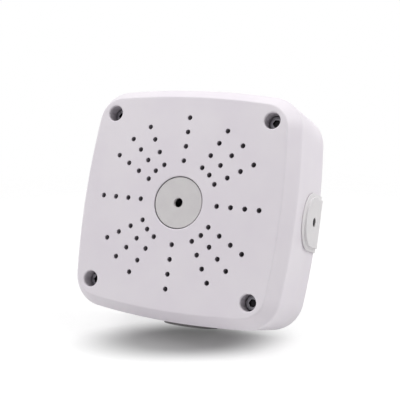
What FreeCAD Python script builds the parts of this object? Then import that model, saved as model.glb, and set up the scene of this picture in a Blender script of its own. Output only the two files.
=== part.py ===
"""Camera junction box for a wall: a deep square shell with rubber cable plugs over a flat back plate.

Frame, in millimetres: +X right, +Z up, and the front looks along -Y. The origin is the centre of the
wall screw pattern on the back face, so the wall is the plane y = 0. A height is the distance from the
wall towards the front, so a point at height 10 lies at y = -10.
"""
import FreeCAD, Part
import math
import os
import Sketcher

SHEET = "Sizes"
PARTS_FOLDER = "parts"

# Every size that can be set by itself, in millimetres and degrees.
DRIVING_SIZES = (
    ("box_width", 137.0, "shell from side to side at the middle, the same across and up"),
    ("box_depth", 52.5, "from the wall to the front face"),
    ("side_radius", 462.0, "radius of the gently bulged sides"),
    ("wall_corner", 20.0, "radius of the shell's four long corners"),
    ("bevel_width", 6.1, "how far the bevel round the face goes in from the side"),
    ("bevel_depth", 8.7, "how far the bevel goes back from the face"),
    ("face_edge_round", 1.2, "rounding between face and bevel"),
    ("wall_edge_round", 3.0, "rounding between bevel and side"),
    ("wall_thick", 3.5, "shell side wall"),
    ("face_thick", 3.2, "shell front wall"),
    ("ledge_width", 2.0, "ledge inside the shell that presses the cover gasket"),
    ("plate_thick", 3.0, "back plate"),
    ("plate_gap", 0.3, "clearance all round the back plate inside the shell"),
    ("gasket_thick", 1.5, "cover gasket under load"),
    ("gasket_width", 1.6, "cover gasket seen from the front"),
    ("screw_inset", 17.9, "from the middle of a side in to the cover screws"),
    ("screw_dia", 5.0, "cover screw shank"),
    ("screw_length", 20.0, "cover screw under its head"),
    ("screw_head_dia", 8.5, "socket head"),
    ("screw_head_height", 5.0, "socket head"),
    ("screw_head_sink", 8.0, "from the front face down to the screw head"),
    ("socket_flats", 4.0, "hexagon socket across its flats"),
    ("socket_depth", 2.5, "hexagon socket"),
    ("screw_tip_chamfer", 0.6, "chamfer on the screw tip"),
    ("counterbore_dia", 9.4, "hole above each cover screw head"),
    ("counterbore_round", 0.8, "rounding at the mouth of each counterbore"),
    ("screw_clear_dia", 5.5, "hole for the cover screw shank"),
    ("seat_floor", 3.5, "shell material under each screw head"),
    ("shell_post_dia", 14.0, "shell column around each counterbore"),
    ("washer_thick", 1.0, "sealing washer under each screw head"),
    ("washer_outer_dia", 8.9, "sealing washer"),
    ("post_gap", 0.2, "between the shell columns and the back plate columns"),
    ("back_post_dia", 12.0, "back plate column under each cover screw"),
    ("insert_dia", 7.0, "threaded insert"),
    ("insert_length", 10.0, "threaded insert"),
    ("insert_fit", 0.05, "clearance round an insert, and round the screw in it"),
    ("tip_room", 2.0, "free depth below each cover screw tip"),
    ("ring_radius", 24.5, "innermost ring of camera screw holes"),
    ("ring_step", 8.5, "from ring to ring"),
    ("spoke_step", 15.0, "degrees; the spokes stand at 0, 2, 3 and 4 steps in each quarter"),
    ("camera_hole_dia", 3.0, "camera screw holes"),
    ("camera_hole_depth", 9.5, "camera screw holes, from the face"),
    ("camera_boss_dia", 5.8, "boss behind each camera screw hole"),
    ("camera_boss_height", 8.0, "boss behind each camera screw hole"),
    ("recess_dia", 30.8, "round recess for the centre plug"),
    ("recess_depth", 4.0, "round recess for the centre plug"),
    ("recess_boss_dia", 37.0, "ring behind the recess"),
    ("recess_boss_height", 6.0, "ring behind the recess"),
    ("recess_edge_round", 0.6, "rounding at the mouth of the recess"),
    ("neck_dia", 23.0, "centre plug neck"),
    ("neck_fit", 0.08, "clearance round the neck"),
    ("plug_rim_gap", 0.5, "clearance round the centre plug's disc"),
    ("plug_sink", 0.6, "centre plug's disc below the front face"),
    ("plug_skin", 2.2, "rubber web of the cable plugs"),
    ("plug_wall", 2.0, "rubber round the hollow of each cable plug"),
    ("plug_neck_length", 8.0, "centre plug behind its disc"),
    ("plug_edge_round", 0.5, "rounding on the centre plug's disc"),
    ("cable_hole_dia", 5.6, "pilot hole for a cable in each front and side plug"),
    ("side_plug_height", 14.9, "side plug axis from the wall"),
    ("notch_radius", 14.0, "round end of the notches in the shell"),
    ("notch_fit", 0.15, "clearance of a side plug in its notch"),
    ("flange_lap", 3.0, "side plug flange beyond its notch"),
    ("flange_proud", 2.2, "side plug flange out of the shell side"),
    ("flange_seat", 0.1, "between flange and shell side at the middle"),
    ("flange_rim_height", 1.0, "thin outer rim of the flange, where it meets the raised middle"),
    ("flange_slope_width", 2.2, "slope of the thin rim, seen square on"),
    ("flange_slope_height", 0.5, "slope of the thin rim"),
    ("flange_rim_width", 2.4, "thin outer rim of the flange"),
    ("flange_round", 0.4, "rounding on the flange's raised middle"),
    ("flange_wall_gap", 0.2, "between the flange's back edge and the wall"),
    ("plug_inner_reach", 4.5, "side plug beyond the inside of the shell wall"),
    ("wall_hole_inset", 26.5, "from the middle of a side in to the wall screw holes"),
    ("wall_hole_dia", 5.5, "wall screw holes"),
    ("rear_hole_dia", 26.0, "cable opening in the back plate"),
    ("rear_cable_dia", 8.0, "cable hole in the rear grommet"),
    ("grommet_fit", 0.15, "clearance round the rear grommet"),
    ("grommet_lap", 3.0, "rear grommet flanges beyond the opening"),
    ("grommet_flange", 1.2, "thickness of the rear grommet's flanges"),
    ("grommet_recess", 1.4, "recess in the wall side of the back plate"),
    ("rib_height", 4.0, "stiffening ribs on the back plate"),
    ("rib_thick", 2.0, "stiffening ribs on the back plate"),
    ("rib_clear", 2.0, "from the grommet's inner flange to the ribs"),
    ("rib_reach", 52.0, "ribs, from the centre to their ends"),
    ("overcut", 1.0, "how far a cut runs past the face that it opens"),
)

# The four corners, by name, as signs of X and Z.
CORNERS = (
    ("top_right", 1, 1),
    ("top_left", -1, 1),
    ("bottom_left", -1, -1),
    ("bottom_right", 1, -1),
)

# Side plugs by name, as the turn about +Y, in degrees, that brings +X to the side of each.
SIDE_PLUGS = (
    ("right_plug", 0.0),
    ("bottom_plug", 90.0),
    ("left_plug", 180.0),
)

SPOKE_STEPS_IN_QUARTER = (0, 2, 3, 4)
RINGS = 4
QUARTERS = 4
HEXAGON_SIDES = 6
TOLERANCE = 1e-4


class Term:
    """A number together with the sheet formula that gives it."""

    def __init__(self, number, formula):
        self.number = number
        self.formula = formula

    @staticmethod
    def of(value):
        """Makes a term of a plain number, and leaves a term as it is."""
        if isinstance(value, Term):
            return value
        return Term(float(value), repr(float(value)))

    def joined(self, other, sign, number):
        """Puts this term and another round an operator sign."""
        return Term(number, f"({self.formula} {sign} {other.formula})")

    def __add__(self, other):
        other = Term.of(other)
        return self.joined(other, "+", self.number + other.number)

    def __sub__(self, other):
        other = Term.of(other)
        return self.joined(other, "-", self.number - other.number)

    def __mul__(self, other):
        other = Term.of(other)
        return self.joined(other, "*", self.number * other.number)

    def __truediv__(self, other):
        other = Term.of(other)
        return self.joined(other, "/", self.number / other.number)

    def __neg__(self):
        return Term(-self.number, f"(-1 * {self.formula})")


def cosine(degrees):
    """Cosine of a term in degrees."""
    return Term(math.cos(math.radians(degrees.number)), f"cos({degrees.formula} * 1 deg)")


def sine(degrees):
    """Sine of a term in degrees."""
    return Term(math.sin(math.radians(degrees.number)), f"sin({degrees.formula} * 1 deg)")


class Sizes:
    """The driving sizes as terms, read from the sheet."""

    def __init__(self, sheet):
        for alias, _, _ in DRIVING_SIZES:
            setattr(self, alias, Term(float(getattr(sheet, alias)), f"{SHEET}.{alias}"))
        self.side_face = self.box_width / 2
        self.post_offset = self.side_face - self.screw_inset
        self.wall_hole_offset = self.side_face - self.wall_hole_inset
        self.seat_sink = self.screw_head_sink + self.screw_head_height + self.washer_thick
        self.seat_height = self.box_depth - self.seat_sink
        self.shell_post_end = self.seat_height - self.seat_floor
        self.back_post_top = self.shell_post_end - self.post_gap
        self.head_under = self.seat_height + self.washer_thick
        self.screw_tip = self.head_under - self.screw_length
        self.face_inside = self.box_depth - self.face_thick
        self.ledge_height = self.plate_thick + self.gasket_thick
        self.plate_inset = self.wall_thick - self.ledge_width + self.plate_gap


def fill_sheet(doc):
    """Writes the driving sizes into the sheet, one row each."""
    sheet = doc.addObject("Spreadsheet::Sheet", SHEET)
    for row, (alias, number, note) in enumerate(DRIVING_SIZES, start=1):
        sheet.set(f"A{row}", alias)
        sheet.set(f"B{row}", str(number))
        sheet.set(f"C{row}", note)
        sheet.setAlias(f"B{row}", alias)
    doc.recompute()
    return sheet


def bind(thing, prop, term):
    """Sets a property to a term and ties it to the sheet."""
    thing.setExpression(prop, Term.of(term).formula)


def new_body(doc, label):
    """An empty body whose label names its file."""
    body = doc.addObject("PartDesign::Body", label)
    body.Label = label
    return body


def origin_feature(body, role):
    """The body's own origin plane or axis of that role."""
    for feature in body.Origin.OriginFeatures:
        if feature.Role == role:
            return feature
    raise RuntimeError(f"{body.Label} has no {role}")


def new_sketch(body, name, plane, height):
    """A sketch on one of the body's origin planes, moved along the plane's normal by height."""
    sketch = body.newObject("Sketcher::SketchObject", name)
    sketch.AttachmentSupport = [(origin_feature(body, plane), "")]
    sketch.MapMode = "FlatFace"
    bind(sketch, "AttachmentOffset.Base.z", height)
    return sketch


def add_size(sketch, constraint, name, term):
    """Adds a named dimension to a sketch and ties it to the sheet."""
    index = sketch.addConstraint(constraint)
    sketch.renameConstraint(index, name)
    bind(sketch, f"Constraints.{name}", term)


def place_point(sketch, geometry, position, name, across, up):
    """Fixes a point of a sketch at (across, up); None means on the axis."""
    if across is None:
        sketch.addConstraint(Sketcher.Constraint("PointOnObject", geometry, position, -2))
    else:
        rule = Sketcher.Constraint("DistanceX", -1, 1, geometry, position, across.number)
        add_size(sketch, rule, f"{name}_across", across)
    if up is None:
        sketch.addConstraint(Sketcher.Constraint("PointOnObject", geometry, position, -1))
    else:
        rule = Sketcher.Constraint("DistanceY", -1, 1, geometry, position, up.number)
        add_size(sketch, rule, f"{name}_up", up)


def draw_outline(sketch, size, name, inset):
    """Draws the box outline, moved in by inset: four bulged sides joined by four round corners.

    Every arc is tangent to the next. A side's centre lies on an axis, on the far side of the origin.
    """
    half = size.box_width / 2 - inset
    side_radius = size.side_radius - inset
    corner_radius = size.wall_corner - inset
    side_centre = half - side_radius
    # The corner circle touches both side circles from inside, which fixes its centre at (c, c).
    reach = side_radius.number - corner_radius.number
    centre = side_centre.number
    corner = (centre + math.sqrt(2 * reach ** 2 - centre ** 2)) / 2
    turn = math.atan2(corner, corner - centre)
    up = FreeCAD.Vector(0, 0, 1)
    sides = []
    corners = []
    for quarter in range(QUARTERS):
        angle = quarter * math.pi / 2
        direction = FreeCAD.Vector(math.cos(angle), math.sin(angle), 0)
        circle = Part.Circle(direction * centre, up, side_radius.number)
        arc = Part.ArcOfCircle(circle, angle - turn, angle + turn)
        sides.append(sketch.addGeometry(arc))
        diagonal = angle + math.pi / 4
        middle = FreeCAD.Vector(math.cos(diagonal), math.sin(diagonal), 0) * (corner * math.sqrt(2))
        circle = Part.Circle(middle, up, corner_radius.number)
        arc = Part.ArcOfCircle(circle, angle + turn, angle + math.pi / 2 - turn)
        corners.append(sketch.addGeometry(arc))
    places = ((side_centre, None), (None, side_centre), (-side_centre, None), (None, -side_centre))
    for quarter in range(QUARTERS):
        side = sides[quarter]
        place_point(sketch, side, 3, f"{name}_side_{quarter}", *places[quarter])
        rule = Sketcher.Constraint("Radius", side, side_radius.number)
        add_size(sketch, rule, f"{name}_side_radius_{quarter}", side_radius)
        rule = Sketcher.Constraint("Radius", corners[quarter], corner_radius.number)
        add_size(sketch, rule, f"{name}_corner_radius_{quarter}", corner_radius)
        following = sides[(quarter + 1) % QUARTERS]
        sketch.addConstraint(Sketcher.Constraint("Tangent", side, 2, corners[quarter], 1))
        sketch.addConstraint(Sketcher.Constraint("Tangent", corners[quarter], 2, following, 1))


def draw_circles(sketch, name, places, diameter):
    """Draws circles of one diameter at the given places."""
    up = FreeCAD.Vector(0, 0, 1)
    first = None
    for number, (across, height) in enumerate(places):
        x = 0.0 if across is None else across.number
        y = 0.0 if height is None else height.number
        circle = sketch.addGeometry(Part.Circle(FreeCAD.Vector(x, y, 0), up, diameter.number / 2))
        place_point(sketch, circle, 3, f"{name}_{number}", across, height)
        if first is None:
            first = circle
            rule = Sketcher.Constraint("Diameter", circle, diameter.number)
            add_size(sketch, rule, f"{name}_dia", diameter)
        else:
            sketch.addConstraint(Sketcher.Constraint("Equal", first, circle))


def draw_arch(sketch, centre, radius, end):
    """Draws an arch on the plane of Y and Z: a half circle towards the front and straight legs back.

    Args: centre and end are heights of the half circle's centre and of the legs' ends.
    """
    up = FreeCAD.Vector(0, 0, 1)
    half = radius.number
    across = -centre.number
    back = -end.number
    circle = Part.Circle(FreeCAD.Vector(across, 0, 0), up, half)
    arc = sketch.addGeometry(Part.ArcOfCircle(circle, math.pi / 2, math.pi * 3 / 2))
    corners = (
        FreeCAD.Vector(across, -half, 0),
        FreeCAD.Vector(back, -half, 0),
        FreeCAD.Vector(back, half, 0),
        FreeCAD.Vector(across, half, 0),
    )
    lines = []
    for start, stop in zip(corners, corners[1:]):
        lines.append(sketch.addGeometry(Part.LineSegment(start, stop)))
    low, close, high = lines
    sketch.addConstraint(Sketcher.Constraint("Tangent", arc, 2, low, 1))
    sketch.addConstraint(Sketcher.Constraint("Coincident", low, 2, close, 1))
    sketch.addConstraint(Sketcher.Constraint("Coincident", close, 2, high, 1))
    sketch.addConstraint(Sketcher.Constraint("Tangent", high, 2, arc, 1))
    sketch.addConstraint(Sketcher.Constraint("Horizontal", low))
    sketch.addConstraint(Sketcher.Constraint("Horizontal", high))
    sketch.addConstraint(Sketcher.Constraint("Vertical", close))
    place_point(sketch, arc, 3, "arch", -centre, None)
    add_size(sketch, Sketcher.Constraint("Radius", arc, half), "arch_radius", radius)
    add_size(sketch, Sketcher.Constraint("DistanceX", -1, 1, close, 1, back), "arch_end", -end)


def draw_rectangle(sketch, name, low_x, high_x, low_y, high_y):
    """Draws a rectangle between terms."""
    corners = (
        FreeCAD.Vector(low_x.number, low_y.number, 0),
        FreeCAD.Vector(high_x.number, low_y.number, 0),
        FreeCAD.Vector(high_x.number, high_y.number, 0),
        FreeCAD.Vector(low_x.number, high_y.number, 0),
    )
    lines = []
    for number, start in enumerate(corners):
        stop = corners[(number + 1) % len(corners)]
        lines.append(sketch.addGeometry(Part.LineSegment(start, stop)))
    for number, line in enumerate(lines):
        following = lines[(number + 1) % len(lines)]
        sketch.addConstraint(Sketcher.Constraint("Coincident", line, 2, following, 1))
        direction = "Vertical" if number % 2 else "Horizontal"
        sketch.addConstraint(Sketcher.Constraint(direction, line))
    place_point(sketch, lines[0], 1, f"{name}_low", low_x, low_y)
    place_point(sketch, lines[2], 1, f"{name}_high", high_x, high_y)


def draw_hexagon(sketch, flats):
    """Draws a hexagon of that width across its flats, centred on the origin, with a corner at the right."""
    corner = flats / cosine(Term.of(180.0 / HEXAGON_SIDES))
    points = []
    for number in range(HEXAGON_SIDES):
        angle = 2 * math.pi * number / HEXAGON_SIDES
        radius = corner.number / 2
        points.append(FreeCAD.Vector(radius * math.cos(angle), radius * math.sin(angle), 0))
    circle = sketch.addGeometry(Part.Circle(FreeCAD.Vector(0, 0, 0), FreeCAD.Vector(0, 0, 1), radius), True)
    sketch.addConstraint(Sketcher.Constraint("Coincident", circle, 3, -1, 1))
    add_size(sketch, Sketcher.Constraint("Diameter", circle, corner.number), "across_corners", corner)
    lines = []
    for number, start in enumerate(points):
        stop = points[(number + 1) % HEXAGON_SIDES]
        lines.append(sketch.addGeometry(Part.LineSegment(start, stop)))
    for number, line in enumerate(lines):
        following = lines[(number + 1) % HEXAGON_SIDES]
        sketch.addConstraint(Sketcher.Constraint("Coincident", line, 2, following, 1))
        sketch.addConstraint(Sketcher.Constraint("PointOnObject", line, 1, circle))
        if number:
            sketch.addConstraint(Sketcher.Constraint("Equal", lines[0], line))
    sketch.addConstraint(Sketcher.Constraint("PointOnObject", lines[0], 1, -1))


def solid_volume(body):
    """Volume of the body's present shape."""
    return body.Shape.Volume if body.Shape.Solids else 0.0


def pad(doc, body, name, sketch, length):
    """Pads a sketch along its normal and checks that the body grew."""
    before = solid_volume(body)
    feature = body.newObject("PartDesign::Pad", name)
    feature.Profile = sketch
    bind(feature, "Length", length)
    doc.recompute()
    if solid_volume(body) <= before:
        raise RuntimeError(f"{name} adds nothing to {body.Label}")
    return feature


def pocket(doc, body, name, sketch, depth, along_normal=False):
    """Cuts a sketch into the body, against its normal unless told otherwise, and checks that it cut."""
    before = solid_volume(body)
    feature = body.newObject("PartDesign::Pocket", name)
    feature.Profile = sketch
    feature.Reversed = along_normal
    bind(feature, "Length", depth)
    doc.recompute()
    if solid_volume(body) >= before:
        raise RuntimeError(f"{name} cuts nothing from {body.Label}")
    return feature


def polar_pattern(doc, body, name, feature, occurrences, degrees):
    """Repeats a feature about the body's Y axis."""
    pattern = body.newObject("PartDesign::PolarPattern", name)
    pattern.Originals = [feature]
    pattern.Axis = (origin_feature(body, "Y_Axis"), [""])
    pattern.Angle = degrees
    pattern.Occurrences = occurrences
    body.Tip = pattern
    doc.recompute()
    return pattern


def edges_at(shape, height, radius=None):
    """Names of the edges that lie wholly at one height, and are circles of that radius if one is given."""
    names = []
    for number, edge in enumerate(shape.Edges, start=1):
        box = edge.BoundBox
        flat = abs(box.YMin + height) < TOLERANCE and abs(box.YMax + height) < TOLERANCE
        if not flat:
            continue
        if radius is not None:
            curve = edge.Curve
            if not isinstance(curve, Part.Circle) or abs(curve.Radius - radius) > TOLERANCE:
                continue
        names.append(f"Edge{number}")
    if not names:
        raise RuntimeError(f"no edges at height {height}")
    return names


def edges_on_side(shape, across):
    """Names of the edges that lie wholly in the plane x = across."""
    names = []
    for number, edge in enumerate(shape.Edges, start=1):
        box = edge.BoundBox
        if abs(box.XMin - across) < TOLERANCE and abs(box.XMax - across) < TOLERANCE:
            names.append(f"Edge{number}")
    if not names:
        raise RuntimeError(f"no edges at x = {across}")
    return names


def fillet(doc, body, name, edges, radius):
    """Rounds edges of the body's last feature."""
    last = body.Tip
    feature = body.newObject("PartDesign::Fillet", name)
    feature.Base = (last, edges)
    bind(feature, "Radius", radius)
    doc.recompute()
    return feature


def chamfer(doc, body, name, edges, back, across=None):
    """Chamfers edges of the body's last feature, equally or so far back and so far across the face."""
    last = body.Tip
    feature = body.newObject("PartDesign::Chamfer", name)
    feature.Base = (last, edges)
    bind(feature, "Size", back)
    if across is not None:
        feature.ChamferType = "Two distances"
        bind(feature, "Size2", across)
    doc.recompute()
    return feature


def corner_places(offset):
    """Places of four things at the corners of a square of that half width."""
    return [(offset if x > 0 else -offset, offset if z > 0 else -offset) for _, x, z in CORNERS]


def camera_hole_places(size):
    """Places of the camera screw holes of one quarter: spokes of equally spaced rings."""
    places = []
    for step in SPOKE_STEPS_IN_QUARTER:
        angle = size.spoke_step * step
        for ring in range(RINGS):
            radius = size.ring_radius + size.ring_step * ring
            if step == 0:
                places.append((radius, None))
            else:
                places.append((radius * cosine(angle), radius * sine(angle)))
    return places


def build_front_shell(doc, size):
    """The whole visible box: bevelled face, bulged walls, screw columns and camera screw bosses."""
    body = new_body(doc, "front_shell")
    sketch = new_sketch(body, "shell_outline", "XZ_Plane", Term.of(0))
    draw_outline(sketch, size, "outer", Term.of(0))
    pad(doc, body, "shell_block", sketch, size.box_depth)
    front = edges_at(body.Shape, size.box_depth.number)
    chamfer(doc, body, "face_bevel", front, size.bevel_depth, size.bevel_width)
    low = edges_at(body.Shape, size.box_depth.number - size.bevel_depth.number)
    fillet(doc, body, "bevel_to_wall", low, size.wall_edge_round)
    high = edges_at(body.Shape, size.box_depth.number)
    fillet(doc, body, "bevel_to_face", high, size.face_edge_round)

    cut_shell_cavity(doc, body, size)
    add_shell_columns(doc, body, size)
    cut_shell_front(doc, body, size)
    cut_shell_notches(doc, body, size)
    return body


def cut_shell_cavity(doc, body, size):
    """Hollows the shell from the back, in two steps that follow the bevel, and cuts the gasket ledge."""
    sketch = new_sketch(body, "cavity_outline", "XZ_Plane", Term.of(0))
    draw_outline(sketch, size, "cavity", size.wall_thick)
    deep = size.box_depth - size.bevel_depth - size.wall_thick / 3
    pocket(doc, body, "cavity", sketch, deep, along_normal=True)

    sketch = new_sketch(body, "front_cavity_outline", "XZ_Plane", Term.of(0))
    draw_outline(sketch, size, "front_cavity", size.bevel_width + size.wall_thick / 2)
    pocket(doc, body, "front_cavity", sketch, size.face_inside, along_normal=True)

    sketch = new_sketch(body, "ledge_outline", "XZ_Plane", Term.of(0))
    draw_outline(sketch, size, "ledge", size.wall_thick - size.ledge_width)
    pocket(doc, body, "gasket_ledge", sketch, size.ledge_height, along_normal=True)


def add_shell_columns(doc, body, size):
    """Adds the screw columns, the ring behind the recess and the camera screw bosses."""
    sketch = new_sketch(body, "post_circles", "XZ_Plane", size.shell_post_end)
    draw_circles(sketch, "post", corner_places(size.post_offset), size.shell_post_dia)
    pad(doc, body, "screw_posts", sketch, size.face_inside - size.shell_post_end)

    ring_bottom = size.face_inside - size.recess_boss_height
    sketch = new_sketch(body, "recess_boss_circle", "XZ_Plane", ring_bottom)
    draw_circles(sketch, "boss", [(None, None)], size.recess_boss_dia)
    pad(doc, body, "recess_boss", sketch, size.recess_boss_height)

    boss_bottom = size.face_inside - size.camera_boss_height
    sketch = new_sketch(body, "camera_boss_circles", "XZ_Plane", boss_bottom)
    draw_circles(sketch, "camera_boss", camera_hole_places(size), size.camera_boss_dia)
    bosses = pad(doc, body, "camera_bosses", sketch, size.camera_boss_height)
    polar_pattern(doc, body, "camera_boss_quarters", bosses, QUARTERS, 360.0)


def cut_shell_front(doc, body, size):
    """Cuts the camera screw holes, the screw counterbores and the recess into the front face."""
    sketch = new_sketch(body, "camera_hole_circles", "XZ_Plane", size.box_depth)
    draw_circles(sketch, "camera_hole", camera_hole_places(size), size.camera_hole_dia)
    holes = pocket(doc, body, "camera_holes", sketch, size.camera_hole_depth)
    polar_pattern(doc, body, "camera_hole_quarters", holes, QUARTERS, 360.0)

    places = corner_places(size.post_offset)
    sketch = new_sketch(body, "counterbore_circles", "XZ_Plane", size.box_depth)
    draw_circles(sketch, "counterbore", places, size.counterbore_dia)
    pocket(doc, body, "counterbores", sketch, size.seat_sink)

    sketch = new_sketch(body, "screw_hole_circles", "XZ_Plane", size.box_depth)
    draw_circles(sketch, "screw_hole", places, size.screw_clear_dia)
    pocket(doc, body, "screw_holes", sketch, size.seat_sink + size.seat_floor + size.overcut)

    sketch = new_sketch(body, "recess_circle", "XZ_Plane", size.box_depth)
    draw_circles(sketch, "recess", [(None, None)], size.recess_dia)
    pocket(doc, body, "recess", sketch, size.recess_depth)

    sketch = new_sketch(body, "neck_hole_circle", "XZ_Plane", size.box_depth)
    draw_circles(sketch, "neck_hole", [(None, None)], size.neck_dia + size.neck_fit * 2)
    through = size.face_thick + size.recess_boss_height + size.overcut
    pocket(doc, body, "neck_hole", sketch, through)

    mouths = edges_at(body.Shape, size.box_depth.number, size.counterbore_dia.number / 2)
    fillet(doc, body, "counterbore_mouths", mouths, size.counterbore_round)
    mouth = edges_at(body.Shape, size.box_depth.number, size.recess_dia.number / 2)
    fillet(doc, body, "recess_mouth", mouth, size.recess_edge_round)


def cut_shell_notches(doc, body, size):
    """Cuts the arched notches for the right, bottom and left plugs, open to the wall."""
    start = size.side_face - size.wall_thick * 2
    sketch = new_sketch(body, "notch_arch", "YZ_Plane", start)
    draw_arch(sketch, size.side_plug_height, size.notch_radius, -size.overcut)
    length = size.wall_thick * 2 + size.overcut
    notch = pocket(doc, body, "side_notch", sketch, length, along_normal=True)
    polar_pattern(doc, body, "side_notches", notch, len(SIDE_PLUGS), SIDE_PLUGS[-1][1])


def build_back_plate(doc, size):
    """The plate that goes on the wall, with a column under each cover screw."""
    body = new_body(doc, "back_plate")
    sketch = new_sketch(body, "plate_outline", "XZ_Plane", Term.of(0))
    draw_outline(sketch, size, "plate", size.plate_inset)
    pad(doc, body, "plate", sketch, size.plate_thick)

    places = corner_places(size.post_offset)
    sketch = new_sketch(body, "column_circles", "XZ_Plane", size.plate_thick)
    draw_circles(sketch, "column", places, size.back_post_dia)
    pad(doc, body, "columns", sketch, size.back_post_top - size.plate_thick)

    rib_start = size.rear_hole_dia / 2 + size.grommet_lap + size.rib_clear
    sketch = new_sketch(body, "rib_outlines", "XZ_Plane", size.plate_thick)
    half = size.rib_thick / 2
    draw_rectangle(sketch, "right", rib_start, size.rib_reach, -half, half)
    draw_rectangle(sketch, "left", -size.rib_reach, -rib_start, -half, half)
    draw_rectangle(sketch, "top", -half, half, rib_start, size.rib_reach)
    draw_rectangle(sketch, "bottom", -half, half, -size.rib_reach, -rib_start)
    pad(doc, body, "ribs", sketch, size.rib_height)

    sketch = new_sketch(body, "insert_circles", "XZ_Plane", size.back_post_top)
    draw_circles(sketch, "insert", places, size.insert_dia + size.insert_fit * 2)
    pocket(doc, body, "insert_pockets", sketch, size.insert_length)

    sketch = new_sketch(body, "tip_circles", "XZ_Plane", size.back_post_top)
    draw_circles(sketch, "tip", places, size.screw_clear_dia)
    pocket(doc, body, "tip_pockets", sketch, size.back_post_top - size.screw_tip + size.tip_room)

    sketch = new_sketch(body, "wall_hole_circles", "XZ_Plane", Term.of(0))
    draw_circles(sketch, "wall_hole", corner_places(size.wall_hole_offset), size.wall_hole_dia)
    pocket(doc, body, "wall_holes", sketch, size.plate_thick + size.overcut, along_normal=True)

    sketch = new_sketch(body, "rear_hole_circle", "XZ_Plane", Term.of(0))
    draw_circles(sketch, "rear_hole", [(None, None)], size.rear_hole_dia)
    pocket(doc, body, "rear_hole", sketch, size.plate_thick + size.overcut, along_normal=True)

    sketch = new_sketch(body, "grommet_recess_circle", "XZ_Plane", Term.of(0))
    wide = size.rear_hole_dia + (size.grommet_lap + size.grommet_fit) * 2
    draw_circles(sketch, "grommet_recess", [(None, None)], wide)
    pocket(doc, body, "grommet_recess", sketch, size.grommet_recess, along_normal=True)
    return body


def build_cover_gasket(doc, size):
    """The sealing ring between the back plate and the shell's ledge."""
    body = new_body(doc, "cover_gasket")
    sketch = new_sketch(body, "gasket_outline", "XZ_Plane", size.plate_thick)
    draw_outline(sketch, size, "outside", size.plate_inset)
    draw_outline(sketch, size, "inside", size.plate_inset + size.gasket_width)
    pad(doc, body, "gasket_ring", sketch, size.gasket_thick)
    return body


def build_rear_grommet(doc, size):
    """The rubber grommet in the back plate's cable opening, flush with the wall side."""
    body = new_body(doc, "rear_grommet")
    flange_dia = size.rear_hole_dia + size.grommet_lap * 2
    sketch = new_sketch(body, "wall_flange_circle", "XZ_Plane", size.grommet_recess - size.grommet_flange)
    draw_circles(sketch, "wall_flange", [(None, None)], flange_dia)
    pad(doc, body, "wall_flange", sketch, size.grommet_flange)

    sketch = new_sketch(body, "waist_circle", "XZ_Plane", size.grommet_recess)
    draw_circles(sketch, "waist", [(None, None)], size.rear_hole_dia - size.grommet_fit * 2)
    pad(doc, body, "waist", sketch, size.plate_thick - size.grommet_recess)

    sketch = new_sketch(body, "inner_flange_circle", "XZ_Plane", size.plate_thick)
    draw_circles(sketch, "inner_flange", [(None, None)], flange_dia)
    pad(doc, body, "inner_flange", sketch, size.grommet_flange)

    top = size.plate_thick + size.grommet_flange
    sketch = new_sketch(body, "rear_cable_circle", "XZ_Plane", top)
    draw_circles(sketch, "rear_cable", [(None, None)], size.rear_cable_dia)
    pocket(doc, body, "rear_cable_hole", sketch, top + size.overcut)
    return body


def build_centre_plug(doc, size):
    """The round rubber plug in the middle of the face: a disc, a hollow neck and a cable hole."""
    body = new_body(doc, "centre_plug")
    disc_bottom = size.box_depth - size.recess_depth
    disc_top = size.box_depth - size.plug_sink
    sketch = new_sketch(body, "disc_circle", "XZ_Plane", disc_bottom)
    draw_circles(sketch, "disc", [(None, None)], size.recess_dia - size.plug_rim_gap * 2)
    pad(doc, body, "disc", sketch, disc_top - disc_bottom)

    neck_bottom = disc_bottom - size.plug_neck_length
    sketch = new_sketch(body, "neck_circle", "XZ_Plane", neck_bottom)
    draw_circles(sketch, "neck", [(None, None)], size.neck_dia)
    pad(doc, body, "neck", sketch, size.plug_neck_length)

    sketch = new_sketch(body, "hollow_circle", "XZ_Plane", neck_bottom)
    draw_circles(sketch, "hollow", [(None, None)], size.neck_dia - size.plug_wall * 2)
    hollow_depth = disc_top - neck_bottom - size.plug_skin
    pocket(doc, body, "hollow", sketch, hollow_depth, along_normal=True)

    sketch = new_sketch(body, "pilot_circle", "XZ_Plane", disc_top)
    draw_circles(sketch, "pilot", [(None, None)], size.cable_hole_dia)
    pocket(doc, body, "cable_hole", sketch, size.plug_skin + size.overcut)

    radius = size.recess_dia.number / 2 - size.plug_rim_gap.number
    rim = edges_at(body.Shape, disc_top.number, radius)
    fillet(doc, body, "disc_edge", rim, size.plug_edge_round)
    return body


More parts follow.
